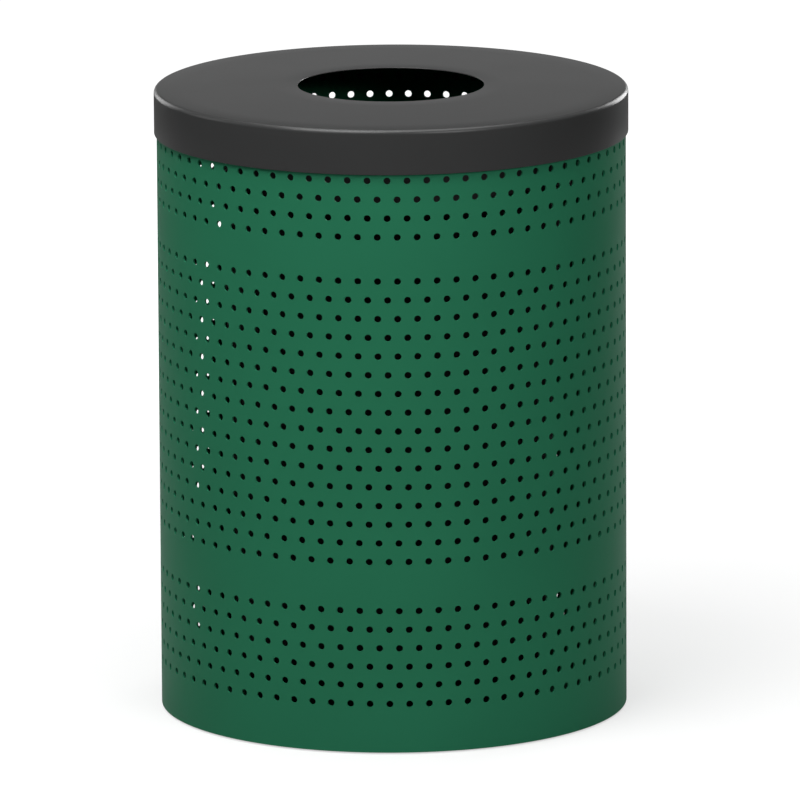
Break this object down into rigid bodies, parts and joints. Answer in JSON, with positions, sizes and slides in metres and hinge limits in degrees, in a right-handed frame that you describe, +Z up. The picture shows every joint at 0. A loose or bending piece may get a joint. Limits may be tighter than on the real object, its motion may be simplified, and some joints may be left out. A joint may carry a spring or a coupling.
{
  "type": "trash receptacle",
  "caption": "Round perforated steel trash receptacle with a flat slip-over lid, round opening, lift-out liner and levelling feet.",
  "frame": {"origin": "on the floor at the middle of the can, at the underside of the screwed-in feet", "axes": "+Z up along the can's axis, -Y to the front as pictured, +X to the right seen from the front"},
  "size_m": [0.613, 0.613, 0.8133],
  "materials": {
    "green_powder_coat": "satin powder coat",
    "charcoal_powder_coat": "fine satin powder coat",
    "black_liner": "matt moulded polyethylene",
    "zinc_steel": "bright zinc plate",
    "black_foot": "matt nylon"
  },
  "bodies": {
    "can": {"front_wall_sheet": "green_powder_coat", "rear_wall_sheet": "green_powder_coat", "top_hoop": "green_powder_coat", "upper_band_hoop": "green_powder_coat", "lower_band_hoop": "green_powder_coat", "base_pan": "green_powder_coat", "foot_weld_nuts": "zinc_steel"},
    "lid": {"lid": "charcoal_powder_coat"},
    "liner": {"liner": "black_liner"},
    "foot_1": {"foot_stud_1": "zinc_steel", "foot_pad_1": "black_foot"},
    "foot_2": {"foot_stud_2": "zinc_steel", "foot_pad_2": "black_foot"},
    "foot_3": {"foot_stud_3": "zinc_steel", "foot_pad_3": "black_foot"},
    "foot_4": {"foot_stud_4": "zinc_steel", "foot_pad_4": "black_foot"}
  },
  "joints": [
    {"name": "lid_lift", "type": "slide", "parent": "can", "child": "lid", "axis": [0, 0, 1], "range_m": [0, 1]},
    {"name": "liner_lift", "type": "slide", "parent": "can", "child": "liner", "axis": [0, 0, 1], "range_m": [0, 0.82]},
    {"name": "foot_1_screw", "type": "slide", "parent": "can", "child": "foot_1", "axis": [0, 0, -1], "range_m": [0, 0.012]},
    {"name": "foot_2_screw", "type": "slide", "parent": "can", "child": "foot_2", "axis": [0, 0, -1], "range_m": [0, 0.012]},
    {"name": "foot_3_screw", "type": "slide", "parent": "can", "child": "foot_3", "axis": [0, 0, -1], "range_m": [0, 0.012]},
    {"name": "foot_4_screw", "type": "slide", "parent": "can", "child": "foot_4", "axis": [0, 0, -1], "range_m": [0, 0.012]}
  ],
  "couplings": [
    {"joint": "liner_lift", "follows": "lid_lift", "ratio": 0.82}
  ]
}
